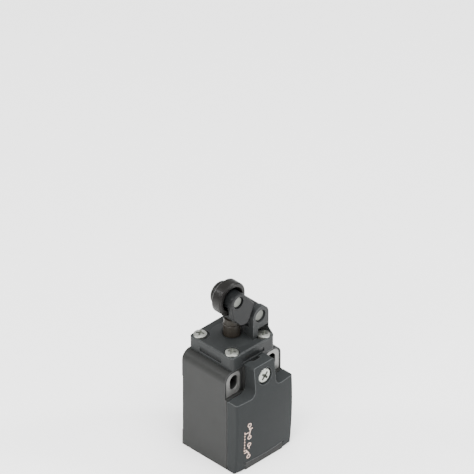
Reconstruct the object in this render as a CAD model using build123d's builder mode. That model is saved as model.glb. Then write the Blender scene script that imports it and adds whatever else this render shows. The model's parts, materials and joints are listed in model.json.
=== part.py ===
from build123d import *
import os
from math import cos, radians, sin

# Limit switch with a roller lever head, millimetres, +Z up, front towards -Y.
# The origin is midway between the two fixing slots, on the back mounting face.

# Housing
WIDTH = 30.0
BOTTOM = -38.0
TOP = 5.5
RIM_Y = -24.0
UPPER_FRONT_Y = -23.1
SHOULDER = -5.7
TOP_RADIUS = 4.0
WALL = 2.2
PAD_STEP = 0.3
CHAMBER_BOTTOM = -29.5
CHAMBER_TOP = -6.0
CHAMBER_BACK_Y = -2.6
CHAMBER_CORNER_R = 1.2
RELIEF_Z = -18.6
RELIEF_HEIGHT = 25.4
PASSAGE_WIDTH = 12.4
PASSAGE_HEIGHT = 9.2
PASSAGE_Z = -2.6
PASSAGE_DEPTH = 14.2
SPRING_SEAT_R = 3.5
SPRING_SEAT_DEPTH = 2.6
STEM_HOLE_R = 1.45
AXIS_Y = -11.8

# Fixing slots and their metal plates
SLOT_SPACING = 20.0
SLOT_WIDTH = 4.3
SLOT_HEIGHT = 6.5
PLATE_THICKNESS = 0.6
PLATE_SINK = 0.2
PLATE_MARGIN = 0.1
PLATE_X = 10.5
PLATE_MIDDLE_Z = -0.35
PLATE_WIDTH = 7.4
PLATE_HEIGHT = 9.9
PLATE_OUTER_R = 3.2
PLATE_INNER_R = 2.2

# Conduit entry, M20 x 1.5
CONDUIT_MINOR_R = 9.2
CONDUIT_LENGTH = 8.5
CONDUIT_Y = -12.0

# Cover
COVER_BACK_Y = -24.4
COVER_FRONT_Y = -30.6
COVER_CROWN_R = 125.0
COVER_BARREL_R = 188.0
COVER_MIDDLE_Z = -16.0
COVER_DEPTH = 7.5
COVER_EDGE_R = 0.8
SHELL_DEPTH = 3.4
SHELL_BOTTOM = -33.8
SHELL_TOP = -8.4
SHOULDER_R = 3.0
TAB_HALF = 5.4
TAB_TOP = 7.0
TAB_CORNER_R = 1.0
LUG_X = 3.75
LUG_WIDTH = 3.0
LUG_REACH = 1.3
LUG_SLOT_WIDTH = 4.4
GASKET_Z = -20.2
GASKET_WIDTH = 27.4
GASKET_HEIGHT = 27.0
GASKET_LINE = 0.7
GASKET_MARGIN = 0.1
HINGE_Y = -27.9
HINGE_Z = -36.9
HINGE_BAR_R = 2.4
HINGE_BAR_FRONT_Y = -29.1
HINGE_WEB = 2.2
HINGE_HALF = 9.9
HINGE_GAP = 0.15
HINGE_NOTCH_R = 0.45
JOURNAL_R = 0.75
JOURNAL_LENGTH = 2.0

# Cover screw and its insert
COVER_SCREW_Z = 1.3
COVER_SCREW_SEAT_Y = -27.5
COVER_SCREW_HEAD_R = 3.15
COVER_SCREW_HEAD_HEIGHT = 2.0
COVER_SCREW_SHANK_R = 1.5
COVER_SCREW_LENGTH = 6.6
COVER_SCREW_HOLE_R = 1.8
SCREW_WELL_R = 3.5
COVER_INSERT_R = 3.2
COVER_INSERT_BORE_R = 2.1
COVER_INSERT_DEPTH = 5.2

# Head
HEAD_SIDE = 22.9
HEAD_TOP = 11.6
HEAD_CHAMFER = 0.35
HEAD_SCREW_SPACING = 17.0
HEAD_SCREW_LENGTH = 7.2
HEAD_SCREW_SHANK_R = 1.2
HEAD_INSERT_R = 1.65
HEAD_INSERT_BORE_R = 1.22
HEAD_INSERT_DEPTH = 1.9
SCREW_HEAD_R = 2.6
SCREW_CLEARANCE = 0.12
POCKET_R = 3.0
POCKET_SPACING = 15.9
POCKET_DEPTH = 0.6
SCOOP_HEIGHT = 4.6
HEAD_CORNER_R = 1.2
SCREW_RIM = 1.1
SCREW_HEIGHT = 1.55
SCREW_CROWN = SCREW_HEIGHT - SCREW_RIM
SCREW_DOME_R = (SCREW_HEAD_R**2 + SCREW_CROWN**2) / (2 * SCREW_CROWN)
BOSS_R = 8.6
BOSS_TOP = 12.6
BOSS_TAPER = 76
BUSH_BORE_R = 4.9
HEAD_GASKET_SIDE = 20.4
WEDGE_WIDTH = 11.8

# Lever, its pivot and the roller
PIVOT_X = 7.1
PIVOT_Z = 20.85
EAR_X = 7.35
EAR_R = 4.1
EAR_FRONT_Y = -20.1
EAR_THICKNESS = 2.5
EAR_BACK_Y = 2 * AXIS_Y - EAR_FRONT_Y
EAR_FOOT_TOP = 16.2
EAR_FOOT_SHIFT = 1.17
EAR_FOOT_DEPTH = 2.4
LEVER_FRONT_Y = -19.6
LEVER_BACK_Y = -6.3
LEVER_DEPTH = 11.0
LEVER_HUB_R = 3.9
PAD_BACK_Y = -8.8
PAD_LEFT = -2.6
PLATE_BACK_Y = -17.1
ROLLER_X = -4.1
ROLLER_Z = 32.3
HUB_R = 3.9
ROLLER_R = 6.95
ROLLER_FRONT_Y = -16.4
ROLLER_BACK_Y = -8.5
ROLLER_STEP_Y = -11.75
ROLLER_RECESS_Y = -13.3
ROLLER_STEP_R = 4.7
ROLLER_BORE_R = 3.0
PIVOT_PIN_R = 2.3
BUSH_R = 3.0
ROLLER_PIN_R = 2.2
PIN_SINK = 0.7
PIN_CHAMFER = 0.2
COUNTERSINK = 0.35
COUNTERSINK_DEPTH = 1.1
ROLLER_GAP = 0.35

# Plunger
PLUNGER_R = 3.4
PLUNGER_BOTTOM = -6.6
PLUNGER_SKIRT = 7.4
PLUNGER_BORE_R = 2.6
STEM_R = 1.25
SPRING_TOP = 15.0
PLUNGER_SHOULDER = 17.6
PLUNGER_TOP = 20.45
DOME_RISE = 0.5
NECK_R = 3.15
DOME_R = (NECK_R**2 + DOME_RISE**2) / (2 * DOME_RISE)
PAD_Z = 20.6

# Contact block
BLOCK_WIDTH = 21.6
BLOCK_BACK = -2.8
BLOCK_FRONT = -16.0
BLOCK_LOW = -29.2
BLOCK_HIGH = -7.0
BLOCK_SCREW_X = 9.6
BLOCK_SCREW_Z = -17.85
BLOCK_SCREW_HEAD = 1.0
TERMINAL_X = 7.6
TERMINAL_Z = (-12.3, -23.4)
TERMINAL_SCREW_Y = -14.5
TERMINAL_SCREW_HEAD = 1.9
TERMINAL_HOLE_R = 1.35
NC_Z = -10.9
NO_Z = -21.6
BAR_THICKNESS = 0.8
BAR_Y = -9.0
BRIDGE_Z = (-11.8, -17.1)
BRIDGE_LENGTH = 8.2
BRIDGE_DEPTH = 2.4
CARRIER_Z = -14.65
CARRIER_WIDTH = 4.8
CARRIER_HEIGHT = 15.7
CARRIER_BACK_Y = -6.8
CARRIER_DEPTH = 8.8
CARRIER_WALL = 1.6
CONTACT_SPRING_Y = -10.8

# Running fit, play between parts, and a length that cuts through anything here
FIT = 0.05
PLAY = 0.15
THROUGH = 30.0

os.makedirs("parts", exist_ok=True)


def save(part, name):
    """Labels a finished sub-part and writes it to its own file."""
    part.label = name
    export_step(part, f"parts/{name}.step")


def facing(y):
    """The plane at this depth that looks towards the front, with x to the right and z up."""
    return Plane(origin=(0, y, 0), x_dir=(1, 0, 0), z_dir=(0, -1, 0))


def level(z, y=AXIS_Y):
    """The horizontal plane at this height, centred on the plunger's axis unless y is given."""
    return Plane(origin=(0, y, z), x_dir=(1, 0, 0), z_dir=(0, 0, 1))


def corners(spacing):
    """The four corners of a square pattern round the plunger's axis."""
    half = spacing / 2
    return [(-half, -half), (half, -half), (-half, half), (half, half)]


def plate_outline(plane, side, margin):
    """The rounded outline of a fixing plate on the plane, grown by the margin."""
    with BuildSketch(plane, mode=Mode.PRIVATE) as shape:
        with Locations((side * PLATE_X, PLATE_MIDDLE_Z)):
            Rectangle(PLATE_WIDTH + 2 * margin, PLATE_HEIGHT + 2 * margin)
        outward = shape.vertices().sort_by(Axis.X)
        if side < 0:
            outward = outward[::-1]
        fillet(outward[:2], PLATE_INNER_R)
        outer_top = shape.vertices().sort_by(lambda corner: side * corner.X + corner.Y)[-1]
        fillet(outer_top, PLATE_OUTER_R + margin)
    return shape.sketch


def gasket_line(margin):
    """The cover gasket's outline about the origin, grown by the margin on both sides."""
    grown = 2 * margin
    hole = 2 * (GASKET_LINE + margin)
    with BuildSketch(mode=Mode.PRIVATE) as shape:
        RectangleRounded(GASKET_WIDTH + grown, GASKET_HEIGHT + grown, 1.5 + margin)
        RectangleRounded(GASKET_WIDTH - hole, GASKET_HEIGHT - hole, 1.3 - margin, mode=Mode.SUBTRACT)
    return shape.sketch


# ---------------------------------------------------------------- housing
LIP_BACK = RIM_Y + 0.5
with BuildPart() as housing:
    with BuildSketch(facing(UPPER_FRONT_Y)):
        with Locations((0, (BOTTOM + TOP) / 2)):
            Rectangle(WIDTH, TOP - BOTTOM)
    extrude(amount=UPPER_FRONT_Y)
    top_edges = housing.edges().filter_by(Axis.Y).group_by(Axis.Z)[-1]
    fillet(top_edges, TOP_RADIUS)
    # The front rim under the cover, and the block behind the cover's tab.
    with BuildSketch(facing(UPPER_FRONT_Y)):
        with Locations((0, (BOTTOM + SHOULDER) / 2)):
            Rectangle(WIDTH, SHOULDER - BOTTOM)
        with Locations((0, (SHOULDER + TOP) / 2)):
            Rectangle(2 * TAB_HALF, TOP - SHOULDER)
    extrude(amount=UPPER_FRONT_Y - RIM_Y)
    # Shallow relief between the two raised pads of the back face.
    with BuildSketch(facing(0)):
        with Locations((0, RELIEF_Z)):
            Rectangle(WIDTH, RELIEF_HEIGHT)
    extrude(amount=PAD_STEP, mode=Mode.SUBTRACT)
    # Contact chamber, open to the front.
    with BuildSketch(facing(CHAMBER_BACK_Y)):
        with Locations((0, (CHAMBER_BOTTOM + CHAMBER_TOP) / 2)):
            RectangleRounded(WIDTH - 2 * WALL, CHAMBER_TOP - CHAMBER_BOTTOM, CHAMBER_CORNER_R)
    extrude(amount=THROUGH, mode=Mode.SUBTRACT)
    # Passage from the chamber up to the plunger, between the fixing bosses.
    with BuildSketch(facing(CHAMBER_BACK_Y)):
        with Locations((0, PASSAGE_Z)):
            Rectangle(PASSAGE_WIDTH, PASSAGE_HEIGHT)
    extrude(amount=PASSAGE_DEPTH, mode=Mode.SUBTRACT)
    with BuildSketch(level(TOP)):
        Circle(SPRING_SEAT_R)
    extrude(amount=-SPRING_SEAT_DEPTH, mode=Mode.SUBTRACT)
    with BuildSketch(level(TOP)):
        Circle(STEM_HOLE_R)
    extrude(amount=-2 * SPRING_SEAT_DEPTH, mode=Mode.SUBTRACT)
    # Fixing slots, right through.
    with BuildSketch(facing(1)):
        with Locations((-SLOT_SPACING / 2, 0), (SLOT_SPACING / 2, 0)):
            SlotOverall(SLOT_HEIGHT, SLOT_WIDTH, rotation=90)
    extrude(amount=THROUGH, mode=Mode.SUBTRACT)
    # Seats of the fixing plates.
    for side in (-1, 1):
        seat = plate_outline(facing(UPPER_FRONT_Y), side, PLATE_MARGIN)
        extrude(seat, amount=-PLATE_THICKNESS - PLATE_SINK, mode=Mode.SUBTRACT)
    # Notch in the top, behind the slot between the cover tab's lugs.
    with BuildSketch(level(TOP - 1.9, 0)):
        with Locations((0, RIM_Y + 0.3)):
            Rectangle(LUG_SLOT_WIDTH, 0.8)
    extrude(amount=3, mode=Mode.SUBTRACT)
    # Conduit entry in the floor, up into the chamber.
    with BuildSketch(level(BOTTOM, CONDUIT_Y)):
        Circle(CONDUIT_MINOR_R)
    extrude(amount=CONDUIT_LENGTH + 1, mode=Mode.SUBTRACT)
    # Seats of the head screws' inserts and of the cover screw's insert.
    with BuildSketch(level(TOP)):
        with Locations(*corners(HEAD_SCREW_SPACING)):
            Circle(HEAD_INSERT_R)
    extrude(amount=-HEAD_INSERT_DEPTH - FIT, mode=Mode.SUBTRACT)
    with BuildSketch(facing(RIM_Y)):
        with Locations((0, COVER_SCREW_Z)):
            Circle(COVER_INSERT_R)
    extrude(amount=-COVER_INSERT_DEPTH, mode=Mode.SUBTRACT)
    # Hinge bar along the bottom front, joined to the rim by a web.
    with BuildSketch(Plane.YZ.offset(-HINGE_HALF)):
        with Locations((HINGE_Y, HINGE_Z)):
            Circle(HINGE_BAR_R)
        with Locations((HINGE_BAR_FRONT_Y + HINGE_BAR_R, BOTTOM + 2 * HINGE_BAR_R)):
            Rectangle(2 * HINGE_BAR_R, 4 * HINGE_BAR_R, mode=Mode.INTERSECT)
        with Locations(((HINGE_Y + LIP_BACK) / 2, HINGE_Z)):
            Rectangle(LIP_BACK - HINGE_Y, HINGE_WEB)
    extrude(amount=2 * HINGE_HALF)
    with BuildSketch(Plane.YZ.offset(-HINGE_HALF - JOURNAL_LENGTH)):
        with Locations((HINGE_Y, HINGE_Z)):
            Circle(JOURNAL_R)
    extrude(amount=2 * (HINGE_HALF + JOURNAL_LENGTH))
save(housing.part, "housing")

for name, side in (("fixing_plate_left", -1), ("fixing_plate_right", 1)):
    with BuildPart() as plate:
        plate_back = facing(UPPER_FRONT_Y + PLATE_THICKNESS + PLATE_SINK)
        extrude(plate_outline(plate_back, side, 0), amount=PLATE_THICKNESS)
        with BuildSketch(plate_back):
            with Locations((side * SLOT_SPACING / 2, 0)):
                SlotOverall(SLOT_HEIGHT, SLOT_WIDTH, rotation=90)
        extrude(amount=PLATE_THICKNESS, mode=Mode.SUBTRACT)
    save(plate.part, name)

with BuildPart() as cover_insert:
    with BuildSketch(facing(RIM_Y + COVER_INSERT_DEPTH)):
        with Locations((0, COVER_SCREW_Z)):
            Circle(COVER_INSERT_R)
            Circle(COVER_INSERT_BORE_R, mode=Mode.SUBTRACT)
    extrude(amount=COVER_INSERT_DEPTH - 2 * PLAY)
save(cover_insert.part, "cover_screw_insert")

with BuildPart() as head_inserts:
    with BuildSketch(level(TOP - HEAD_INSERT_DEPTH)):
        with Locations(*corners(HEAD_SCREW_SPACING)):
            Circle(HEAD_INSERT_R)
            Circle(HEAD_INSERT_BORE_R, mode=Mode.SUBTRACT)
    extrude(amount=HEAD_INSERT_DEPTH - FIT)
save(head_inserts.part, "head_screw_inserts")

# ---------------------------------------------------------------- cover
with BuildPart() as cover:
    with BuildSketch(facing(COVER_BACK_Y)) as outline:
        with Locations((0, (BOTTOM + SHOULDER) / 2)):
            Rectangle(WIDTH, SHOULDER - BOTTOM)
        with Locations((0, (SHOULDER - 2 + TAB_TOP) / 2)):
            Rectangle(2 * TAB_HALF, TAB_TOP - SHOULDER + 2)
        shoulder = outline.vertices().filter_by_position(Axis.Y, SHOULDER - 0.1, SHOULDER + 0.1)
        shoulder = shoulder.sort_by(Axis.X)
        fillet(shoulder[1:3], SHOULDER_R)
        fillet(outline.vertices().group_by(Axis.Y)[-1], TAB_CORNER_R)
    extrude(amount=COVER_DEPTH)
    # The front is crowned across and barrelled from top to bottom.
    with BuildSketch(Plane.XY.offset(COVER_MIDDLE_Z), mode=Mode.PRIVATE) as crown:
        with BuildLine():
            sag = (WIDTH / 2 + 1) ** 2 / (2 * COVER_CROWN_R)
            left = (-WIDTH / 2 - 1, COVER_FRONT_Y + sag)
            right = (WIDTH / 2 + 1, COVER_FRONT_Y + sag)
            ThreePointArc(left, (0, COVER_FRONT_Y), right)
            Polyline(right, (WIDTH / 2 + 1, -20), (-WIDTH / 2 - 1, -20), left)
        make_face()
    barrel_axis = Axis((0, COVER_FRONT_Y + COVER_BARREL_R, COVER_MIDDLE_Z), (1, 0, 0))
    front_half = revolve(crown.sketch, barrel_axis, 12, mode=Mode.PRIVATE)
    back_half = revolve(crown.sketch, barrel_axis, -12, mode=Mode.PRIVATE)
    add(front_half + back_half, mode=Mode.INTERSECT)
    front = cover.faces().sort_by(Axis.Y)[0]
    fillet(front.edges(), COVER_EDGE_R)
    # Lugs of the tab that reach back over the housing's top, either side of a slot.
    with BuildSketch(level(TOP + PLAY, 0)):
        for side in (-1, 1):
            with Locations((side * LUG_X, COVER_BACK_Y + 0.35)):
                Rectangle(LUG_WIDTH, LUG_REACH)
    extrude(amount=TAB_TOP - TOP - 5 * PLAY)
    # Inside of the shell.
    with BuildSketch(facing(COVER_BACK_Y)):
        with Locations((0, (SHELL_BOTTOM + SHELL_TOP) / 2)):
            RectangleRounded(WIDTH - 2 * WALL, SHELL_TOP - SHELL_BOTTOM, CHAMBER_CORNER_R)
    extrude(amount=SHELL_DEPTH, mode=Mode.SUBTRACT)
    # Groove of the gasket round the rim.
    with BuildSketch(facing(COVER_BACK_Y)):
        with Locations((0, GASKET_Z)):
            add(gasket_line(GASKET_MARGIN))
    extrude(amount=0.6, mode=Mode.SUBTRACT)
    # Room for the hinge bar, and the ears' holes for its journals.
    with BuildSketch(Plane.YZ.offset(-HINGE_HALF - HINGE_GAP)):
        with Locations((HINGE_Y, HINGE_Z)):
            Circle(HINGE_BAR_R + HINGE_GAP)
        with Locations((HINGE_Y - 2.5, HINGE_Z - 0.45)):
            Rectangle(5.0, 3.3)
        with Locations((HINGE_Y + 2.5, HINGE_Z - 0.44)):
            Rectangle(5.0, 3.32)
    extrude(amount=2 * (HINGE_HALF + HINGE_GAP), mode=Mode.SUBTRACT)
    journal_hole = HINGE_HALF + JOURNAL_LENGTH + 2 * HINGE_GAP
    with BuildSketch(Plane.YZ.offset(-journal_hole)):
        with Locations((HINGE_Y, HINGE_Z)):
            Circle(JOURNAL_R + FIT)
    extrude(amount=2 * journal_hole, mode=Mode.SUBTRACT)
    # Slot in the tab's back edge, between the lugs.
    with BuildSketch(level(TAB_TOP - 2.4, 0)):
        with Locations((0, COVER_BACK_Y - 0.4)):
            Rectangle(LUG_SLOT_WIDTH, 1.0)
    extrude(amount=4, mode=Mode.SUBTRACT)
    # Small notches at the ends of the hinge bar.
    with BuildSketch(facing(HINGE_Y)):
        for side in (-1, 1):
            with Locations((side * (HINGE_HALF + 2 * HINGE_GAP), HINGE_Z + 1.9)):
                Circle(HINGE_NOTCH_R)
    extrude(amount=4, mode=Mode.SUBTRACT)
    # Screw hole of the tab.
    with BuildSketch(facing(COVER_SCREW_SEAT_Y + 0.1)):
        with Locations((0, COVER_SCREW_Z)):
            Circle(SCREW_WELL_R)
    extrude(amount=COVER_DEPTH, mode=Mode.SUBTRACT)
    with BuildSketch(facing(0)):
        with Locations((0, COVER_SCREW_Z)):
            Circle(COVER_SCREW_HOLE_R)
    extrude(amount=THROUGH, mode=Mode.SUBTRACT)
save(cover.part, "cover")

with BuildPart() as cover_gasket:
    with BuildSketch(facing(COVER_BACK_Y + 0.3)):
        with Locations((0, GASKET_Z)):
            add(gasket_line(0))
    extrude(amount=0.8)
save(cover_gasket.part, "cover_gasket")


def cross(plane, width, length):
    """The outline of a cross-shaped driver recess on the plane."""
    with BuildSketch(plane, mode=Mode.PRIVATE) as shape:
        Rectangle(width, length)
        Rectangle(length, width)
    return shape.sketch


with BuildPart() as cover_screw:
    screw_seat = Plane(origin=(0, COVER_SCREW_SEAT_Y, COVER_SCREW_Z), x_dir=(1, 0, 0), z_dir=(0, -1, 0))
    with BuildSketch(screw_seat):
        Circle(COVER_SCREW_HEAD_R)
    extrude(amount=COVER_SCREW_HEAD_HEIGHT)
    fillet(cover_screw.edges().sort_by(Axis.Y)[0], 0.7)
    with BuildSketch(screw_seat):
        Circle(COVER_SCREW_SHANK_R)
    extrude(amount=-COVER_SCREW_LENGTH)
    screw_face_y = COVER_SCREW_SEAT_Y - COVER_SCREW_HEAD_HEIGHT
    screw_face = Plane(origin=(0, screw_face_y, COVER_SCREW_Z), x_dir=(1, 0, 1), z_dir=(0, -1, 0))
    extrude(cross(screw_face, 1.05, 3.9), amount=-1.5, mode=Mode.SUBTRACT)
save(cover_screw.part, "cover_screw")

with BuildPart() as captive_ring:
    with BuildSketch(facing(COVER_BACK_Y + 0.7)):
        with Locations((0, COVER_SCREW_Z)):
            Circle(1.95)
            Circle(COVER_SCREW_SHANK_R, mode=Mode.SUBTRACT)
    extrude(amount=0.5)
save(captive_ring.part, "captive_ring")

# ---------------------------------------------------------------- head
with BuildPart() as head:
    with BuildSketch(level(TOP)):
        RectangleRounded(HEAD_SIDE, HEAD_SIDE, HEAD_CORNER_R)
    extrude(amount=HEAD_TOP - TOP)
    chamfer(head.faces().sort_by(Axis.Z)[-1].edges(), HEAD_CHAMFER)
    # Shallow cone that carries the plunger's mouth.
    with BuildSketch(level(HEAD_TOP)):
        Circle(BOSS_R)
    extrude(amount=BOSS_TOP - HEAD_TOP, taper=BOSS_TAPER)
    # Clevis ears with thicker feet, inside, behind the screws' pockets.
    for front_y, out in ((EAR_FRONT_Y, -1), (EAR_BACK_Y - EAR_THICKNESS, 1)):
        with BuildSketch(facing(front_y + EAR_THICKNESS)):
            with Locations((EAR_X, PIVOT_Z)):
                Circle(EAR_R)
            with Locations((EAR_X, (HEAD_TOP - 1 + PIVOT_Z) / 2)):
                Rectangle(2 * EAR_R, PIVOT_Z - HEAD_TOP + 1)
        extrude(amount=EAR_THICKNESS)
        inner_y = front_y + EAR_THICKNESS if out < 0 else front_y
        with BuildSketch(level(HEAD_TOP - 1, inner_y - out * EAR_FOOT_SHIFT)):
            with Locations((EAR_X, 0)):
                Rectangle(2 * EAR_R, EAR_FOOT_DEPTH)
        extrude(amount=EAR_FOOT_TOP - HEAD_TOP + 1)
    # Bore of the plunger's bush and seal.
    with BuildSketch(level(TOP)):
        Circle(BUSH_BORE_R)
    extrude(amount=6.3, mode=Mode.SUBTRACT)
    with BuildSketch(level(TOP)):
        Circle(PLUNGER_R + 0.25)
    extrude(amount=9, mode=Mode.SUBTRACT)
    # Gasket seat underneath.
    with BuildSketch(level(TOP)):
        RectangleRounded(HEAD_GASKET_SIDE + 0.2, HEAD_GASKET_SIDE + 0.2, 1.0)
    extrude(amount=0.5, mode=Mode.SUBTRACT)
    # Thin wall beside each scoop, sloping down to the head's front and back edges.
    for ear_y, out in ((EAR_FRONT_Y, -1), (EAR_BACK_Y, 1)):
        with BuildSketch(Plane.YZ.offset(EAR_X + EAR_R - 1.5)):
            with BuildLine():
                Polyline(
                    (ear_y - out * 2.2, HEAD_TOP - 0.8),
                    (ear_y - out * 2.2, HEAD_TOP + 6.2),
                    (ear_y, HEAD_TOP + 6.2),
                    (ear_y, HEAD_TOP + 2.3),
                    (ear_y + out * 2.5, HEAD_TOP),
                    (ear_y + out * 2.5, HEAD_TOP - 0.8),
                    close=True,
                )
            make_face()
        extrude(amount=1.5)
    # Screw pockets, which scoop the ears' feet, and the screws' seats and holes.
    with BuildSketch(level(HEAD_TOP - POCKET_DEPTH)):
        with Locations(*corners(POCKET_SPACING)):
            Circle(POCKET_R)
    extrude(amount=POCKET_DEPTH + 0.5, mode=Mode.SUBTRACT)
    with BuildSketch(level(HEAD_TOP - POCKET_DEPTH)):
        with Locations(*corners(HEAD_SCREW_SPACING)):
            Circle(SCREW_HEAD_R + SCREW_CLEARANCE)
    extrude(amount=SCOOP_HEIGHT, mode=Mode.SUBTRACT)
    with BuildSketch(level(TOP)):
        with Locations(*corners(HEAD_SCREW_SPACING)):
            Circle(1.35)
    extrude(amount=8, mode=Mode.SUBTRACT)
    # Pivot holes, and a shallow wedge notch low on each side.
    with BuildSketch(facing(0)):
        with Locations((PIVOT_X, PIVOT_Z)):
            Circle(PIVOT_PIN_R + 0.02)
    extrude(amount=THROUGH, mode=Mode.SUBTRACT)
    for outer_y, inward in ((EAR_FRONT_Y, -COUNTERSINK_DEPTH), (EAR_BACK_Y, COUNTERSINK_DEPTH)):
        with BuildSketch(facing(outer_y)):
            with Locations((PIVOT_X, PIVOT_Z)):
                Circle(PIVOT_PIN_R + COUNTERSINK)
        extrude(amount=inward, mode=Mode.SUBTRACT)
    for turn in range(4):
        out = Vector(0, -1, 0).rotate(Axis.Z, 90 * turn)
        along = Vector(1, 0, 0).rotate(Axis.Z, 90 * turn)
        middle = Vector(0, AXIS_Y, 0) + out * (HEAD_SIDE / 2)
        with BuildSketch(Plane(origin=middle + along * WEDGE_WIDTH / 2, x_dir=out, z_dir=-along)):
            with BuildLine():
                Polyline((0.1, TOP + 1.3), (0.1, TOP + 3.6), (0, TOP + 3.6), (-0.5, TOP + 1.3), close=True)
            make_face()
        extrude(amount=WEDGE_WIDTH, mode=Mode.SUBTRACT)
save(head.part, "head")

with BuildPart() as head_gasket:
    with BuildSketch(level(TOP + 0.02)):
        RectangleRounded(HEAD_GASKET_SIDE, HEAD_GASKET_SIDE, 1.0)
        Circle(5.2, mode=Mode.SUBTRACT)
        with Locations(*corners(HEAD_SCREW_SPACING)):
            Circle(1.3, mode=Mode.SUBTRACT)
    extrude(amount=0.44)
save(head_gasket.part, "head_gasket")

with BuildPart() as head_screws:
    for x, y in corners(HEAD_SCREW_SPACING):
        seat_z = HEAD_TOP - POCKET_DEPTH
        base = Plane(origin=(x, AXIS_Y + y, seat_z), x_dir=(1, 0, 0), z_dir=(0, 0, 1))
        with BuildSketch(base):
            Circle(HEAD_SCREW_SHANK_R)
        extrude(amount=-HEAD_SCREW_LENGTH)
        with BuildSketch(Plane(origin=base.origin, x_dir=(1, 0, 0), z_dir=(0, -1, 0))):
            with BuildLine():
                RadiusArc((SCREW_HEAD_R, SCREW_RIM), (0, SCREW_HEIGHT), -SCREW_DOME_R)
                Polyline((0, SCREW_HEIGHT), (0, 0), (SCREW_HEAD_R, 0), (SCREW_HEAD_R, SCREW_RIM))
            make_face()
        revolve(axis=Axis((x, AXIS_Y + y, 0), (0, 0, 1)))
        driver_z = seat_z + SCREW_HEIGHT + 0.2
        driver = Plane(origin=(x, AXIS_Y + y, driver_z), x_dir=(1, 0.6, 0), z_dir=(0, 0, 1))
        extrude(cross(driver, 0.8, 3.3), amount=-1.5, mode=Mode.SUBTRACT)
save(head_screws.part, "head_screws")

# ---------------------------------------------------------------- plunger
with BuildPart() as plunger_bush:
    with BuildSketch(level(TOP + 0.1)):
        Circle(BUSH_BORE_R - FIT)
        Circle(PLUNGER_R + FIT, mode=Mode.SUBTRACT)
    extrude(amount=4.6)
save(plunger_bush.part, "plunger_bush")

with BuildPart() as plunger_seal:
    with BuildSketch(level(TOP + 4.75)):
        Circle(BUSH_BORE_R - 2 * FIT)
        Circle(PLUNGER_R + 0.04, mode=Mode.SUBTRACT)
    extrude(amount=1.4)
save(plunger_seal.part, "plunger_seal")

with BuildPart() as plunger:
    with BuildSketch(Plane(origin=(0, AXIS_Y, 0), x_dir=(1, 0, 0), z_dir=(0, -1, 0))):
        with BuildLine():
            Polyline(
                (0, PLUNGER_BOTTOM),
                (STEM_R, PLUNGER_BOTTOM),
                (STEM_R, SPRING_TOP),
                (PLUNGER_BORE_R, SPRING_TOP),
                (PLUNGER_BORE_R, PLUNGER_SKIRT),
                (PLUNGER_R, PLUNGER_SKIRT),
            )
            Line((PLUNGER_R, PLUNGER_SKIRT), (PLUNGER_R, PLUNGER_SHOULDER - 0.5))
            ThreePointArc(
                (PLUNGER_R, PLUNGER_SHOULDER - 0.5),
                (PLUNGER_R - 0.15, PLUNGER_SHOULDER - 0.15),
                (PLUNGER_R - 0.5, PLUNGER_SHOULDER),
            )
            Line((PLUNGER_R - 0.5, PLUNGER_SHOULDER), (NECK_R, PLUNGER_SHOULDER))
            Line((NECK_R, PLUNGER_SHOULDER), (NECK_R, PLUNGER_TOP - DOME_RISE))
            RadiusArc((NECK_R, PLUNGER_TOP - DOME_RISE), (0, PLUNGER_TOP), -DOME_R)
            Line((0, PLUNGER_TOP), (0, PLUNGER_BOTTOM))
        make_face()
    revolve(axis=Axis((0, AXIS_Y, 0), (0, 0, 1)))
save(plunger.part, "plunger")


def spring(name, radius, wire, low, high, turns, y=AXIS_Y):
    """Writes a coil spring with closed ends between two heights."""
    pitch = (high - low - 2 * wire) / turns
    with BuildPart() as coil:
        with BuildLine():
            path = Helix(pitch, pitch * turns, radius, center=(0, y, low + wire))
        with BuildSketch(Plane(origin=path @ 0, z_dir=path % 0)):
            Circle(wire / 2)
        sweep()
    save(coil.part, name)


spring("plunger_spring", 1.95, 0.45, TOP - SPRING_SEAT_DEPTH + FIT, SPRING_TOP - FIT, 6)

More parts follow.
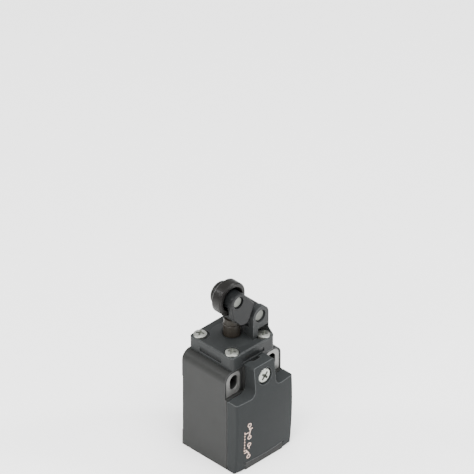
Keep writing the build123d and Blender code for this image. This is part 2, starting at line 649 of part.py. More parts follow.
# ---------------------------------------------------------------- lever
with BuildPart() as lever:
    # Hub between the ears, and an arm with a flat pad over the plunger.
    with BuildSketch(facing(LEVER_BACK_Y)):
        with Locations((PIVOT_X, PIVOT_Z)):
            Circle(LEVER_HUB_R)
    extrude(amount=LEVER_DEPTH)
    with BuildSketch(facing(PAD_BACK_Y)):
        with BuildLine():
            Polyline(
                (PIVOT_X, PIVOT_Z + LEVER_HUB_R),
                (PIVOT_X - 2.2, PIVOT_Z + LEVER_HUB_R),
                (PAD_LEFT, 24.4),
                (PAD_LEFT, PAD_Z),
                (PIVOT_X - 3.0, PAD_Z),
                (PIVOT_X, PIVOT_Z - 2.0),
                close=True,
            )
        make_face()
    extrude(amount=LEVER_DEPTH - (LEVER_BACK_Y - PAD_BACK_Y))
    # Front plate, up to the roller's hub.
    with BuildSketch(facing(PLATE_BACK_Y)) as plate:
        with BuildLine():
            Polyline(
                (ROLLER_X + HUB_R * cos(radians(35)), ROLLER_Z + HUB_R * sin(radians(35))),
                (4.3, 28.0),
                (1.7, 22.2),
                (0.2, PAD_Z),
                (-3.0, PAD_Z + 0.5),
                (-6.4, 25.0),
                (ROLLER_X - HUB_R, ROLLER_Z - 0.5),
                close=True,
            )
        make_face()
        fillet(plate.vertices().sort_by(Axis.Y)[0:3], 0.5)
        with Locations((ROLLER_X, ROLLER_Z)):
            Circle(HUB_R)
    extrude(amount=PLATE_BACK_Y - LEVER_FRONT_Y)
    fillet(lever.faces().sort_by(Axis.Y)[0].edges(), 0.25)
    # Hub that stands into the roller's recess.
    with BuildSketch(facing(PLATE_BACK_Y)):
        with Locations((ROLLER_X, ROLLER_Z)):
            Circle(HUB_R)
    extrude(amount=-3.3)
    # Pivot bore, and the roller pin's bore.
    with BuildSketch(facing(0)):
        with Locations((PIVOT_X, PIVOT_Z)):
            Circle(BUSH_R)
        with Locations((ROLLER_X, ROLLER_Z)):
            Circle(ROLLER_PIN_R)
    extrude(amount=THROUGH, mode=Mode.SUBTRACT)
    # Room for the roller.
    with BuildSketch(facing(ROLLER_BACK_Y + 0.4)):
        with Locations((ROLLER_X, ROLLER_Z)):
            Circle(ROLLER_R + ROLLER_GAP)
            Circle(HUB_R, mode=Mode.SUBTRACT)
    extrude(amount=ROLLER_BACK_Y + 0.4 - PLATE_BACK_Y, mode=Mode.SUBTRACT)
    # Countersinks that leave the pin's end a little below the plate.
    with BuildSketch(facing(LEVER_FRONT_Y)):
        with Locations((ROLLER_X, ROLLER_Z)):
            Circle(ROLLER_PIN_R + COUNTERSINK)
    extrude(amount=-COUNTERSINK_DEPTH, mode=Mode.SUBTRACT)
save(lever.part, "lever")

with BuildPart() as lever_bush:
    with BuildSketch(facing(LEVER_BACK_Y)):
        with Locations((PIVOT_X, PIVOT_Z)):
            Circle(BUSH_R)
            Circle(PIVOT_PIN_R + FIT, mode=Mode.SUBTRACT)
    extrude(amount=LEVER_DEPTH)
save(lever_bush.part, "lever_bush")

with BuildPart() as pivot_pin:
    with BuildSketch(facing(2 * AXIS_Y - EAR_FRONT_Y - PIN_SINK)):
        with Locations((PIVOT_X, PIVOT_Z)):
            Circle(PIVOT_PIN_R)
    extrude(amount=2 * (AXIS_Y - EAR_FRONT_Y - PIN_SINK))
    chamfer(pivot_pin.edges().filter_by(GeomType.CIRCLE), PIN_CHAMFER)
save(pivot_pin.part, "pivot_pin")

with BuildPart() as roller_pin:
    pin_back_y = ROLLER_BACK_Y - 0.6
    with BuildSketch(facing(pin_back_y)):
        with Locations((ROLLER_X, ROLLER_Z)):
            Circle(ROLLER_PIN_R)
    extrude(amount=pin_back_y - LEVER_FRONT_Y - PIN_SINK)
    chamfer(roller_pin.edges().filter_by(GeomType.CIRCLE), PIN_CHAMFER)
    with BuildSketch(facing(ROLLER_BACK_Y + PLAY)):
        with Locations((ROLLER_X, ROLLER_Z)):
            Circle(ROLLER_PIN_R + 0.9)
    extrude(amount=0.75)
save(roller_pin.part, "roller_pin")

with BuildPart() as roller:
    with BuildSketch(Plane(origin=(ROLLER_X, 0, ROLLER_Z), x_dir=(1, 0, 0), z_dir=(0, 0, 1))):
        with BuildLine():
            Polyline(
                (ROLLER_BORE_R, ROLLER_BACK_Y - 1.0),
                (ROLLER_BORE_R, ROLLER_RECESS_Y),
                (ROLLER_STEP_R, ROLLER_RECESS_Y),
                (ROLLER_STEP_R, ROLLER_FRONT_Y + 0.5),
                (5.3, ROLLER_FRONT_Y),
                (6.45, ROLLER_FRONT_Y),
                (ROLLER_R, ROLLER_FRONT_Y + 0.5),
                (ROLLER_R, ROLLER_STEP_Y - 0.4),
                (ROLLER_R - 0.4, ROLLER_STEP_Y),
                (ROLLER_STEP_R, ROLLER_STEP_Y + 0.1),
                (ROLLER_STEP_R, ROLLER_BACK_Y - 0.6),
                (ROLLER_STEP_R - 0.6, ROLLER_BACK_Y),
                (3.4, ROLLER_BACK_Y),
                (3.4, ROLLER_BACK_Y - 1.0),
                close=True,
            )
        make_face()
    revolve(axis=Axis((ROLLER_X, 0, ROLLER_Z), (0, 1, 0)))
save(roller.part, "roller")

with BuildPart() as roller_bush:
    with BuildSketch(facing(ROLLER_BACK_Y - 1.0)):
        with Locations((ROLLER_X, ROLLER_Z)):
            Circle(ROLLER_BORE_R)
            Circle(ROLLER_PIN_R + FIT, mode=Mode.SUBTRACT)
    extrude(amount=2.8)
save(roller_bush.part, "roller_bush")

# ---------------------------------------------------------------- contact block
with BuildPart() as block:
    with BuildSketch(facing(BLOCK_BACK)):
        with Locations((0, (BLOCK_LOW + BLOCK_HIGH) / 2)):
            RectangleRounded(BLOCK_WIDTH, BLOCK_HIGH - BLOCK_LOW, 0.8)
    extrude(amount=BLOCK_BACK - BLOCK_FRONT)
    # Chamber of the sliding carrier.
    with BuildSketch(facing(-6.4)):
        with Locations((0, -16.5)):
            Rectangle(9.2, 21.0)
    extrude(amount=12, mode=Mode.SUBTRACT)
    # Terminal pockets and the slots of the terminal bars.
    with BuildSketch(facing(-12.2)):
        for z in TERMINAL_Z:
            for side in (-1, 1):
                with Locations((side * TERMINAL_X, z + 0.2)):
                    Rectangle(5.6, 6.6)
    extrude(amount=6, mode=Mode.SUBTRACT)
    with BuildSketch(facing(-8.9)):
        for z in (NC_Z, NO_Z):
            with Locations((0, z + BAR_THICKNESS / 2)):
                Rectangle(20.4, BAR_THICKNESS + 0.1)
    extrude(amount=3.6, mode=Mode.SUBTRACT)
    # Threaded holes of the terminals and of the block's two screws.
    with BuildSketch(facing(-6.5)):
        for z in TERMINAL_Z:
            for side in (-1, 1):
                with Locations((side * TERMINAL_X, z)):
                    Circle(TERMINAL_HOLE_R)
        with Locations((-BLOCK_SCREW_X, BLOCK_SCREW_Z), (BLOCK_SCREW_X, BLOCK_SCREW_Z)):
            Circle(0.85)
    extrude(amount=12, mode=Mode.SUBTRACT)
save(block.part, "contact_block_base")

with BuildPart() as block_cover:
    with BuildSketch(facing(BLOCK_FRONT - 0.05)):
        with Locations((0, BLOCK_SCREW_Z)):
            Rectangle(9.4, 21.0)
            Rectangle(21.0, 4.2)
        with Locations((-BLOCK_SCREW_X, BLOCK_SCREW_Z), (BLOCK_SCREW_X, BLOCK_SCREW_Z)):
            Circle(0.95, mode=Mode.SUBTRACT)
    extrude(amount=1.3)
    fillet(block_cover.edges().filter_by(Axis.Y), 0.3)
save(block_cover.part, "contact_block_cover")

with BuildPart() as block_screws:
    seat_y = BLOCK_FRONT - 1.35
    for x in (-BLOCK_SCREW_X, BLOCK_SCREW_X):
        centre = Plane(origin=(x, seat_y, BLOCK_SCREW_Z), x_dir=(1, 0, 0), z_dir=(0, -1, 0))
        with BuildSketch(centre):
            Circle(1.5)
        extrude(amount=BLOCK_SCREW_HEAD)
        with BuildSketch(centre):
            Circle(0.8)
        extrude(amount=-6)
        face_at = (x, seat_y - BLOCK_SCREW_HEAD, BLOCK_SCREW_Z)
        driver = Plane(origin=face_at, x_dir=(1, 0, 1), z_dir=(0, -1, 0))
        extrude(cross(driver, 0.5, 1.8), amount=-0.6, mode=Mode.SUBTRACT)
save(block_screws.part, "contact_block_screws")

with BuildPart() as terminal_bars:
    for z, terminal_z in ((NC_Z, TERMINAL_Z[0]), (NO_Z, TERMINAL_Z[1])):
        for side in (-1, 1):
            with BuildSketch(facing(BAR_Y)):
                with Locations((side * 6.5, z + BAR_THICKNESS / 2)):
                    Rectangle(7.0, BAR_THICKNESS)
            extrude(amount=3.4)
            with BuildSketch(facing(BAR_Y - 3.3)):
                with Locations((side * TERMINAL_X, (terminal_z + z) / 2 + 0.1)):
                    Rectangle(4.6, 4.8)
                with Locations((side * TERMINAL_X, terminal_z)):
                    Circle(TERMINAL_HOLE_R, mode=Mode.SUBTRACT)
            extrude(amount=BAR_THICKNESS)
save(terminal_bars.part, "terminal_bars")

with BuildPart() as terminal_screws:
    for z in TERMINAL_Z:
        for side in (-1, 1):
            at = (side * TERMINAL_X, TERMINAL_SCREW_Y, z)
            with BuildSketch(Plane(origin=at, x_dir=(1, 0, 0), z_dir=(0, -1, 0))):
                Circle(2.3)
            extrude(amount=TERMINAL_SCREW_HEAD)
            with BuildSketch(Plane(origin=at, x_dir=(1, 0, 0), z_dir=(0, -1, 0))):
                Circle(1.25)
            extrude(amount=-6.5)
            face_at = (side * TERMINAL_X, TERMINAL_SCREW_Y - TERMINAL_SCREW_HEAD, z)
            driver = Plane(origin=face_at, x_dir=(1, 0, 0.4), z_dir=(0, -1, 0))
            extrude(cross(driver, 0.65, 3.0), amount=-1.1, mode=Mode.SUBTRACT)
save(terminal_screws.part, "terminal_screws")

with BuildPart() as terminal_clamps:
    with BuildSketch(facing(-13.5)):
        for z in TERMINAL_Z:
            for side in (-1, 1):
                with Locations((side * TERMINAL_X, z)):
                    RectangleRounded(4.8, 5.0, 0.5)
                    Circle(1.4, mode=Mode.SUBTRACT)
    extrude(amount=0.9)
save(terminal_clamps.part, "terminal_clamps")

with BuildPart() as carrier:
    # Two windows for the bridges, closed by a wall behind and in front.
    with BuildSketch(facing(CARRIER_BACK_Y)):
        with Locations((0, CARRIER_Z)):
            Rectangle(CARRIER_WIDTH, CARRIER_HEIGHT)
        for window_z, height in ((-12.35, 3.1), (-15.9, 2.6)):
            with Locations((0, window_z)):
                Rectangle(CARRIER_WIDTH + 0.6, height, mode=Mode.SUBTRACT)
    extrude(amount=CARRIER_DEPTH)
    for wall_y in (CARRIER_BACK_Y, CARRIER_BACK_Y - CARRIER_DEPTH + CARRIER_WALL):
        with BuildSketch(facing(wall_y)):
            with Locations((0, CARRIER_Z)):
                Rectangle(CARRIER_WIDTH, CARRIER_HEIGHT)
        extrude(amount=CARRIER_WALL)
    with BuildSketch(level(CARRIER_Z - CARRIER_HEIGHT / 2)):
        Circle(1.9)
    extrude(amount=4.3, mode=Mode.SUBTRACT)
save(carrier.part, "contact_carrier")

with BuildPart() as bridges:
    for z in BRIDGE_Z:
        with BuildSketch(facing(CONTACT_SPRING_Y + BRIDGE_DEPTH / 2)):
            with Locations((0, z + BAR_THICKNESS / 2)):
                Rectangle(BRIDGE_LENGTH, BAR_THICKNESS)
        extrude(amount=BRIDGE_DEPTH)
save(bridges.part, "contact_bridges")

spring("upper_contact_spring", 0.9, 0.28, -13.85, -11.85, 3, CONTACT_SPRING_Y)
spring("lower_contact_spring", 0.9, 0.28, -16.25, -14.65, 3, CONTACT_SPRING_Y)
spring("carrier_spring", 1.45, 0.32, -26.95, -18.25, 6)
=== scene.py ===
import json
import math

import bpy
import bmesh
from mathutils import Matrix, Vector
from mathutils.bvhtree import BVHTree


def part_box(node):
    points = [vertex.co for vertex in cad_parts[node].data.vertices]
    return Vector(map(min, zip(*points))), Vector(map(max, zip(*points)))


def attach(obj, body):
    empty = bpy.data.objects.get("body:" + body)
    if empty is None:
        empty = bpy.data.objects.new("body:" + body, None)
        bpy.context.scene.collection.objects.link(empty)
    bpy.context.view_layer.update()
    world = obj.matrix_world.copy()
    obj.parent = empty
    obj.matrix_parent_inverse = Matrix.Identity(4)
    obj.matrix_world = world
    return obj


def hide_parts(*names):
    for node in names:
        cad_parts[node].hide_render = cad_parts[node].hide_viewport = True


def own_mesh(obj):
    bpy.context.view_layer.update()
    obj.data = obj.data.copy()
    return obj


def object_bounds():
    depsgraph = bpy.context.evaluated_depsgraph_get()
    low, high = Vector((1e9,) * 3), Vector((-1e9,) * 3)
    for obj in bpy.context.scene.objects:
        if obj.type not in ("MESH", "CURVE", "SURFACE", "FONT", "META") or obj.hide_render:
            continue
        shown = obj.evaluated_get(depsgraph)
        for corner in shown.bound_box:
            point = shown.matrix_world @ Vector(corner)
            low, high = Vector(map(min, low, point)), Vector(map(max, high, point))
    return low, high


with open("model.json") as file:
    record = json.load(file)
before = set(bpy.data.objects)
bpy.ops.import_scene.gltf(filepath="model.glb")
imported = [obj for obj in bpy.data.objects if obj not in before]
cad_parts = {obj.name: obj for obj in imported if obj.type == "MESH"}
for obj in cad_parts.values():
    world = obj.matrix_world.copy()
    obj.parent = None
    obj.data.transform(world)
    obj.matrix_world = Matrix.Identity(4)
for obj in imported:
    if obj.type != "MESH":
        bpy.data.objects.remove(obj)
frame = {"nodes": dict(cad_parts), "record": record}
cad_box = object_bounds()

# Limit switch with a roller lever head, metres, +Z up, front towards -Y.
MM = 0.001
NODES = frame["nodes"]
BODIES = frame["record"]["behaviour"]["bodies"]
BODY_OF = {node: body for body, nodes in BODIES.items() for node in nodes}
SLOT_OF = {part["node"]: part["material_slot"] for part in frame["record"]["subparts"]}


def centre_of(node):
    """Middle of a CAD node's box."""
    low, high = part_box(node)
    return (Vector(low) + Vector(high)) / 2


# ---------------------------------------------------------------- materials
EDGE_SAMPLES = 6
EDGE_FROM, EDGE_TO = 0.86, 0.985  # agreement of rounded and plain normal, from full painted highlight to none
OPEN_FROM, OPEN_TO = 0.8, 0.97  # open sky, corner to outer edge
SKY_REACH = 6  # edge radii that the look for open sky goes out
# Colour of the painted highlight along outer edges, standing in for light caught by rounded
# edges.
PAINTED_HIGHLIGHT_COLOUR = (0.1, 0.106, 0.108)
FINE_SHARE, BROAD_SHARE = 0.45, 0.55
BROAD_GRAINS = 22  # size of a broad blotch, in grains
DARK_AT, PLAIN_AT, PALE_AT = 0.34, 0.5, 0.66
GLOSS_FROM, GLOSS_TO = 0.3, 0.7
GLOSSIER, DULLER = 0.93, 1.07


def link_noise(tree, vector, size, detail=3.0, roughness=0.55):
    """A noise texture whose features are about size metres wide."""
    noise = tree.nodes.new("ShaderNodeTexNoise")
    noise.inputs["Scale"].default_value = 1 / size
    noise.inputs["Detail"].default_value = detail
    noise.inputs["Roughness"].default_value = roughness
    tree.links.new(vector, noise.inputs["Vector"])
    return noise.outputs["Fac"]


def ramp(tree, factor, stops):
    """A colour ramp through (position, rgb) stops."""
    node = tree.nodes.new("ShaderNodeValToRGB")
    elements = node.color_ramp.elements
    while len(elements) < len(stops):
        elements.new(0.5)
    for element, (position, colour) in zip(elements, stops):
        element.position = position
        element.color = (*colour, 1)
    tree.links.new(factor, node.inputs["Fac"])
    return node.outputs["Color"]


def object_place(tree):
    """Coordinates that stay with the object."""
    return tree.nodes.new("ShaderNodeTexCoord").outputs["Object"]


def turned_place(tree, centre, axis):
    """Coordinates that only change with the radius about an axis and the place along it."""
    place = tree.nodes.new("ShaderNodeTexCoord")
    shift = tree.nodes.new("ShaderNodeVectorMath")
    shift.operation = "SUBTRACT"
    shift.inputs[1].default_value = centre
    tree.links.new(place.outputs["Object"], shift.inputs[0])
    split = tree.nodes.new("ShaderNodeSeparateXYZ")
    tree.links.new(shift.outputs[0], split.inputs[0])
    across = [name for name in "XYZ" if name != axis]
    flat = tree.nodes.new("ShaderNodeCombineXYZ")
    for socket, name in zip("XY", across):
        tree.links.new(split.outputs[name], flat.inputs[socket])
    radius = tree.nodes.new("ShaderNodeVectorMath")
    radius.operation = "LENGTH"
    tree.links.new(flat.outputs[0], radius.inputs[0])
    joined = tree.nodes.new("ShaderNodeCombineXYZ")
    tree.links.new(radius.outputs["Value"], joined.inputs["X"])
    tree.links.new(split.outputs[axis], joined.inputs["Y"])
    return joined.outputs[0]


def shade(colour, factor):
    """A colour made lighter or darker."""
    return tuple(min(1.0, part * factor) for part in colour)


def multiplied(tree, first, second):
    """The product of two values, each a socket or a number."""
    node = tree.nodes.new("ShaderNodeMath")
    node.operation = "MULTIPLY"
    for socket, value in zip(node.inputs, (first, second)):
        if isinstance(value, float):
            socket.default_value = value
        else:
            tree.links.new(value, socket)
    return node.outputs[0]


def rounded_normal(tree, radius):
    """The surface normal with sharp edges rounded off to the radius."""
    node = tree.nodes.new("ShaderNodeBevel")
    node.samples = EDGE_SAMPLES
    node.inputs["Radius"].default_value = radius
    return node.outputs["Normal"]


def edge_mask(tree, radius):
    """Mask of the painted edge highlight: one along the outer edges within the radius, nothing on
    flat faces and in corners.
    """
    geometry = tree.nodes.new("ShaderNodeNewGeometry")
    match = tree.nodes.new("ShaderNodeVectorMath")
    match.operation = "DOT_PRODUCT"
    tree.links.new(rounded_normal(tree, radius), match.inputs[0])
    tree.links.new(geometry.outputs["Normal"], match.inputs[1])
    edge_stops = [(EDGE_FROM, (1, 1, 1)), (EDGE_TO, (0, 0, 0))]
    near_edge = ramp(tree, match.outputs["Value"], edge_stops)
    open_sky = tree.nodes.new("ShaderNodeAmbientOcclusion")
    open_sky.samples = EDGE_SAMPLES
    open_sky.inputs["Distance"].default_value = SKY_REACH * radius
    outer = ramp(tree, open_sky.outputs["AO"], [(OPEN_FROM, (0, 0, 0)), (OPEN_TO, (1, 1, 1))])
    return multiplied(tree, near_edge, outer)


def surface(
    name, colour, roughness, grain, relief, spread=0.12, metallic=0.0, specular=0.5,
    edge=0.0, painted_edge_light=0.0, turned=None,
):
    """Node material with blotchy colour, fine relief and uneven gloss.

    Where edge is given, edges are rounded to it; the argument after it paints those edges
    lighter, a painted highlight.
    Where turned gives a centre and an axis, the fine grain runs round that axis.
    """
    material = bpy.data.materials.new(name)
    material.use_nodes = True
    tree = material.node_tree
    shader = tree.nodes["Principled BSDF"]
    shader.inputs["Metallic"].default_value = metallic
    shader.inputs["Specular IOR Level"].default_value = specular
    place = turned_place(tree, *turned) if turned else object_place(tree)
    fine = link_noise(tree, place, grain)
    broad = link_noise(tree, object_place(tree), grain * BROAD_GRAINS, detail=4.0)
    mixed = tree.nodes.new("ShaderNodeMath")
    mixed.operation = "ADD"
    tree.links.new(multiplied(tree, fine, FINE_SHARE), mixed.inputs[0])
    tree.links.new(multiplied(tree, broad, BROAD_SHARE), mixed.inputs[1])
    dark, pale = shade(colour, 1 - spread), shade(colour, 1 + spread)
    paint = ramp(tree, mixed.outputs[0], [(DARK_AT, dark), (PLAIN_AT, colour), (PALE_AT, pale)])
    # Painted highlight: outer edges are painted lighter, standing in for the light that rounded
    # edges catch.
    if painted_edge_light:
        edge_highlight_mix = tree.nodes.new("ShaderNodeMix")
        edge_highlight_mix.data_type = "RGBA"
        tree.links.new(multiplied(tree, edge_mask(tree, edge), painted_edge_light), edge_highlight_mix.inputs["Factor"])
        tree.links.new(paint, edge_highlight_mix.inputs["A"])
        edge_highlight_mix.inputs["B"].default_value = (*PAINTED_HIGHLIGHT_COLOUR, 1)
        paint = edge_highlight_mix.outputs["Result"]
    tree.links.new(paint, shader.inputs["Base Color"])
    gloss_stops = [
        (GLOSS_FROM, (roughness * GLOSSIER,) * 3),
        (GLOSS_TO, (roughness * DULLER,) * 3),
    ]
    gloss = ramp(tree, broad, gloss_stops)
    tree.links.new(gloss, shader.inputs["Roughness"])
    bump = tree.nodes.new("ShaderNodeBump")
    bump.inputs["Strength"].default_value = 1.0
    bump.inputs["Distance"].default_value = relief
    tree.links.new(fine, bump.inputs["Height"])
    if edge:
        tree.links.new(rounded_normal(tree, edge), bump.inputs["Normal"])
    tree.links.new(bump.outputs[0], shader.inputs["Normal"])
    return material


roller_axis = (centre_of("roller"), "Y")
plunger_axis = (centre_of("plunger"), "Z")
pivot_axis = (centre_of("pivot_pin"), "Y")
pin_axis = (centre_of("roller_pin"), "Y")


def pin_steel(name, axis):
    """Turned steel, with its grain round the pin's own axis."""
    return surface(
        name, (0.115, 0.12, 0.11), roughness=0.42, grain=0.15 * MM, relief=0.008 * MM,
        spread=0.2, metallic=0.9, turned=axis,
    )


# Housing, cover, head and lever carry a painted highlight along their outer edges.
LOOKS = {
    "housing": surface(
        "housing_polymer", (0.0112, 0.0117, 0.0112),
        roughness=0.5, grain=0.35 * MM, relief=0.03 * MM,
        spread=0.06, specular=0.2, edge=0.3 * MM, painted_edge_light=0.5,
    ),
    "cover": surface(
        "cover_polymer", (0.0192, 0.0208, 0.0213),
        roughness=0.46, grain=0.35 * MM, relief=0.03 * MM,
        spread=0.06, specular=0.04, edge=0.45 * MM, painted_edge_light=0.9,
    ),
    "head": surface(
        "head_polymer", (0.0145, 0.0158, 0.0161),
        roughness=0.42, grain=0.35 * MM, relief=0.03 * MM,
        spread=0.06, specular=0.15, edge=0.35 * MM, painted_edge_light=0.6,
    ),
    "lever": surface(
        "lever_polymer", (0.0048, 0.0054, 0.0057),
        roughness=0.42, grain=0.3 * MM, relief=0.02 * MM,
        spread=0.06, specular=0.14, edge=0.3 * MM, painted_edge_light=0.6,
    ),
    "roller": surface(
        "roller_polymer", (0.004, 0.0036, 0.0032),
        roughness=0.42, grain=0.25 * MM, relief=0.02 * MM,
        spread=0.2, specular=0.2, turned=roller_axis,
    ),
    "plunger": surface(
        "plunger_polymer", (0.017, 0.0145, 0.0115),
        roughness=0.36, grain=0.25 * MM, relief=0.012 * MM,
        spread=0.2, specular=0.2, turned=plunger_axis,
    ),
    "rubber": surface(
        "nitrile_rubber", (0.008, 0.008, 0.008),
        roughness=0.7, grain=0.2 * MM, relief=0.02 * MM,
    ),
    "plate_metal": surface(
        "plate_zinc", (0.17, 0.17, 0.165),
        roughness=0.42, grain=0.4 * MM, relief=0.01 * MM,
        spread=0.15, metallic=0.6,
    ),
    "zinc_screw": surface(
        "screw_zinc", (0.34, 0.35, 0.325),
        roughness=0.34, grain=0.3 * MM, relief=0.012 * MM,
        spread=0.1, metallic=0.9,
    ),
    "steel_pin": pin_steel("pin_steel", pivot_axis),
    "spring_steel": surface(
        "spring_steel_wire", (0.5, 0.5, 0.5),
        roughness=0.3, grain=0.1 * MM, relief=0.003 * MM,
        spread=0.1, metallic=1.0,
    ),
    "brass": surface(
        "contact_brass", (0.62, 0.47, 0.2),
        roughness=0.32, grain=0.3 * MM, relief=0.006 * MM,
        spread=0.15, metallic=1.0,
    ),
    "clamp_metal": surface(
        "clamp_steel", (0.5, 0.5, 0.48),
        roughness=0.36, grain=0.3 * MM, relief=0.006 * MM,
        spread=0.12, metallic=0.9,
    ),
    "block_plastic": surface(
        "block_polymer", (0.03, 0.03, 0.032),
        roughness=0.45, grain=0.3 * MM, relief=0.015 * MM,
    ),
    "block_cover_plastic": surface(
        "block_cover_polymer", (0.16, 0.012, 0.01),
        roughness=0.45, grain=0.3 * MM, relief=0.012 * MM,
    ),
}
for node, slot in SLOT_OF.items():
    materials = NODES[node].data.materials
    materials.clear()
    materials.append(LOOKS[slot])
NODES["roller_pin"].data.materials[0] = pin_steel("roller_pin_steel", pin_axis)


# ---------------------------------------------------------------- compression springs
STEPS_PER_TURN = 32
SIDES_OF_WIRE = 10
CLOSED_PITCH = 1.06  # rise of a closed turn, in wire widths


def coil_mesh(name, centre, radius, wire, low, high, turns):
    """Round wire wound with one closed turn at each end, between two heights."""
    per_turn, around = STEPS_PER_TURN, SIDES_OF_WIRE
    wire_r = wire / 2
    closed_pitch = CLOSED_PITCH * wire
    open_pitch = (high - low - wire - 2 * closed_pitch) / turns
    points, faces = [], []
    steps = (turns + 2) * per_turn
    for step in range(steps + 1):
        turn = step / per_turn
        closed = min(turn, 1) + max(0, turn - turns - 1)
        height = low + wire_r + closed * closed_pitch + min(max(turn - 1, 0), turns) * open_pitch
        angle = 2 * math.pi * turn
        outward = Vector((math.cos(angle), math.sin(angle), 0))
        middle = Vector((centre.x, centre.y, height)) + outward * radius
        for side in range(around):
            tilt = 2 * math.pi * side / around
            rise = Vector((0, 0, wire_r * math.sin(tilt)))
            points.append(middle + outward * wire_r * math.cos(tilt) + rise)
    for step in range(steps):
        for side in range(around):
            a, b = step * around + side, step * around + (side + 1) % around
            faces.append((a, b, b + around, a + around))
    faces.append(tuple(reversed(range(around))))
    faces.append(tuple(range(steps * around, (steps + 1) * around)))
    mesh = bpy.data.meshes.new(name)
    mesh.from_pydata(points, [], faces)
    solid = bmesh.new()
    solid.from_mesh(mesh)
    bmesh.ops.recalc_face_normals(solid, faces=solid.faces)
    solid.to_mesh(mesh)
    solid.free()
    mesh.polygons.foreach_set("use_smooth", [True] * len(mesh.polygons))
    return mesh


def compression_spring(node, wire, turns):
    """Replaces a CAD spring by a wound coil that moves with the spring's body."""
    low, high = (Vector(corner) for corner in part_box(node))
    centre = (low + high) / 2
    radius = (high.x - low.x - wire) / 2
    name = f"{node}_coil"
    mesh = coil_mesh(name, centre, radius, wire, low.z, high.z, turns)
    mesh.materials.append(LOOKS[SLOT_OF[node]])
    piece = bpy.data.objects.new(name, mesh)
    bpy.context.collection.objects.link(piece)
    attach(piece, BODY_OF[node])
    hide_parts(node)
    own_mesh(piece)


# Each spring ends a little short of its seats, as the CAD spring that it replaces does.
compression_spring("plunger_spring", 0.45 * MM, 6)
compression_spring("carrier_spring", 0.32 * MM, 6)


# ---------------------------------------------------------------- printed symbol
PRINT_X = -8.9 * MM
PRINT_TOP = -16.2 * MM
INK_LIFT = 0.015 * MM
INK_THICK = 0.04 * MM
STROKE = 0.5 * MM
LINK_STROKE = 0.36 * MM
DOT = 0.75 * MM
DOT_STROKE = 0.8  # of the stroke
CONTACT_LENGTH = 7.2 * MM
UPPER_STUB = 1.9 * MM
LOWER_STUB = 1.6 * MM
CLOSED_REACH, OPEN_REACH = 0.6 * MM, -1.7 * MM
CLOSED_TIP, OPEN_TIP = -1.7 * MM, -1.9 * MM
FOOT_LENGTH = 1.5 * MM
CONTACT_STEP = 9.2 * MM
LINK_SHIFT = 2.3 * MM
DASHES = 7
DASH_FROM, DASH_STEP = 3.2, 1.4  # in mm
DASH_LENGTH = 0.8 * MM
JOIN_DROP = 4.0 * MM
JOIN_LENGTH = 1.9 * MM


def surface_point(tree, x, z, lift):
    """The point in front of the cover at x and z, lifted off its surface."""
    place, normal, _, _ = tree.ray_cast(Vector((x, cad_box[0][1] - 1 * MM, z)), Vector((0, 1, 0)))
    return place + normal * lift


def band(outline, points, width, closed=False):
    """Adds a line of the given width, through the points, to the outline's quads."""
    count = len(points)
    first = len(outline["points"])
    for index, point in enumerate(points):
        before = points[index - 1] if index or closed else point
        after = points[(index + 1) % count] if index < count - 1 or closed else point
        along = (after - before).normalized()
        across = Vector((-along.y, along.x)) * width / 2
        outline["points"] += [point + across, point - across]
    for index in range(count if closed else count - 1):
        a = first + 2 * index
        b = first + 2 * ((index + 1) % count)
        outline["quads"].append((a, b, b + 1, a + 1))


def line(start, end, step=0.8 * MM):
    """Points along a straight line, close enough together to follow a curved face."""
    count = max(1, math.ceil((end - start).length / step))
    return [start.lerp(end, index / count) for index in range(count + 1)]


def ring(centre, radius, count=20):
    """Points round a circle."""
    turns = [2 * math.pi * index / count for index in range(count)]
    return [centre + Vector((math.cos(turn), math.sin(turn))) * radius for turn in turns]


def contact_symbol(outline, top, closed_at_rest):
    """Circuit symbol of a contact: two terminals and a moving arm, from its top down."""
    x = PRINT_X
    upper, lower = Vector((x, top - DOT)), Vector((x, top - CONTACT_LENGTH + DOT))
    for centre in (upper, lower):
        band(outline, ring(centre, DOT), STROKE * DOT_STROKE, closed=True)
    band(outline, line(upper - Vector((0, DOT)), upper - Vector((0, UPPER_STUB))), STROKE)
    hinge = lower + Vector((0, LOWER_STUB))
    band(outline, line(lower + Vector((0, DOT)), hinge), STROKE)
    reach = CLOSED_REACH if closed_at_rest else OPEN_REACH
    tip = upper + Vector((reach, CLOSED_TIP if closed_at_rest else OPEN_TIP))
    band(outline, line(hinge, tip), STROKE)
    if closed_at_rest:
        foot_start = upper - Vector((STROKE / 2, UPPER_STUB))
        foot_end = upper + Vector((FOOT_LENGTH, -UPPER_STUB))
        band(outline, line(foot_start, foot_end), STROKE)


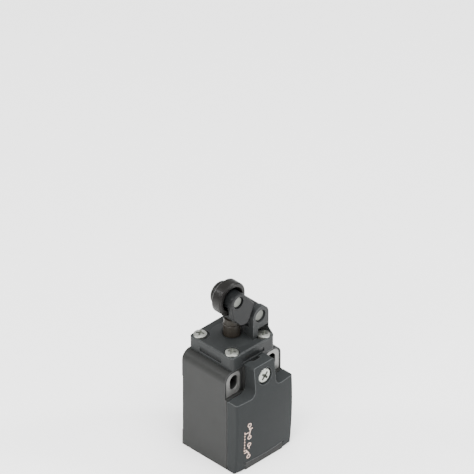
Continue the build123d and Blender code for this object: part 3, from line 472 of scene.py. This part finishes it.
def printed_symbol():
    """Thin pale print low on the cover's left: two contacts and the dashed link between them."""
    outline = {"points": [], "quads": []}
    tops = (PRINT_TOP, PRINT_TOP - CONTACT_STEP)
    for top, closed_at_rest in zip(tops, (True, False)):
        contact_symbol(outline, top, closed_at_rest)
    link_x = PRINT_X - LINK_SHIFT
    for index in range(DASHES):
        start = Vector((link_x, PRINT_TOP - (DASH_FROM + DASH_STEP * index) * MM))
        band(outline, line(start, start - Vector((0, DASH_LENGTH))), LINK_STROKE)
    for top in tops:
        place = Vector((link_x, top - JOIN_DROP))
        band(outline, line(place, place + Vector((JOIN_LENGTH, 0))), LINK_STROKE)
    front = bmesh.new()
    front.from_mesh(NODES["cover"].data)
    tree = BVHTree.FromBMesh(front)
    front.free()
    points = [surface_point(tree, x, z, INK_LIFT) for x, z in outline["points"]]
    mesh = bpy.data.meshes.new("cover_print")
    mesh.from_pydata(points, [], outline["quads"])
    piece = bpy.data.objects.new("cover_print", mesh)
    bpy.context.collection.objects.link(piece)
    thick = piece.modifiers.new("ink", "SOLIDIFY")
    thick.thickness = INK_THICK
    thick.offset = 0
    ink = surface(
        "print_ink", (0.5, 0.36, 0.3), roughness=0.55, grain=0.3 * MM, relief=0.01 * MM,
        spread=0.15,
    )
    mesh.materials.append(ink)
    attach(piece, BODY_OF["cover"])


printed_symbol()


# ---------------------------------------------------------------- stage, lights and camera
FLOOR_GAP = 0.02 * MM  # keeps the floor's face off the housing's
FLOOR_HALF = 10.0
WORLD_STRENGTH = 0.75
WHITE = (1, 1, 1)


def stage_floor():
    """A wide pale floor under the housing's conduit face."""
    level = cad_box[0][2] - FLOOR_GAP
    mesh = bpy.data.meshes.new("floor")
    quarters = ((-1, -1), (1, -1), (1, 1), (-1, 1))
    corners = [(x * FLOOR_HALF, y * FLOOR_HALF, level) for x, y in quarters]
    mesh.from_pydata(corners, [], [(0, 1, 2, 3)])
    floor = bpy.data.objects.new("floor", mesh)
    bpy.context.collection.objects.link(floor)
    paint = surface(
        "floor_paint", (0.97, 0.97, 0.97), roughness=0.8, grain=4 * MM, relief=0.02 * MM,
        spread=0.01,
    )
    mesh.materials.append(paint)


def area_light(name, place, target, size, power, colour):
    """A soft square light aimed at a point."""
    data = bpy.data.lights.new(name, "AREA")
    data.size = size
    data.energy = power
    data.color = colour
    light = bpy.data.objects.new(name, data)
    light.location = place
    light.rotation_mode = "QUATERNION"
    light.rotation_quaternion = (Vector(target) - Vector(place)).to_track_quat("-Z", "Y")
    bpy.context.collection.objects.link(light)


def camera():
    """Isometric view from the front left, long lens, framed as the photograph is."""
    target = Vector((0, -14.57, 58.35)) * MM
    back = Vector((-1, -1, 1)).normalized()
    distance = 4.0
    frame_width = 178.7 * MM
    data = bpy.data.cameras.new("camera")
    data.sensor_width = 36
    data.lens = data.sensor_width * distance / frame_width
    data.clip_start, data.clip_end = 0.1, 20
    view = bpy.data.objects.new("camera", data)
    view.location = target + back * distance
    view.rotation_mode = "QUATERNION"
    view.rotation_quaternion = (-back).to_track_quat("-Z", "Y")
    bpy.context.collection.objects.link(view)
    bpy.context.scene.camera = view


stage_floor()
middle = (Vector(cad_box[0]) + Vector(cad_box[1])) / 2
LIGHTS = (
    # name, place, target, size, power, colour
    ("key", (-0.7, -0.2, 0.3), middle, 0.4, 6, (1, 0.985, 0.95)),
    ("front", (0.15, -0.8, 0.2), middle, 0.4, 0.6, (0.9, 0.96, 1)),
    ("edge", (0.5, -0.5, 0.5), middle, 0.15, 4, WHITE),
    ("back", (0.6, 0.6, 0.6), middle, 0.8, 0.8, WHITE),
    ("rim", (-0.5, 0.5, 0.5), middle, 0.15, 3, WHITE),
    ("top", (-0.1, -0.3, 1.2), (0, -0.1, 0), 1.0, 40, WHITE),
)
for light in LIGHTS:
    area_light(*light)
world = bpy.data.worlds.new("studio")
world.use_nodes = True
background = world.node_tree.nodes["Background"]
background.inputs["Color"].default_value = (*WHITE, 1)
background.inputs["Strength"].default_value = WORLD_STRENGTH
bpy.context.scene.world = world
camera()
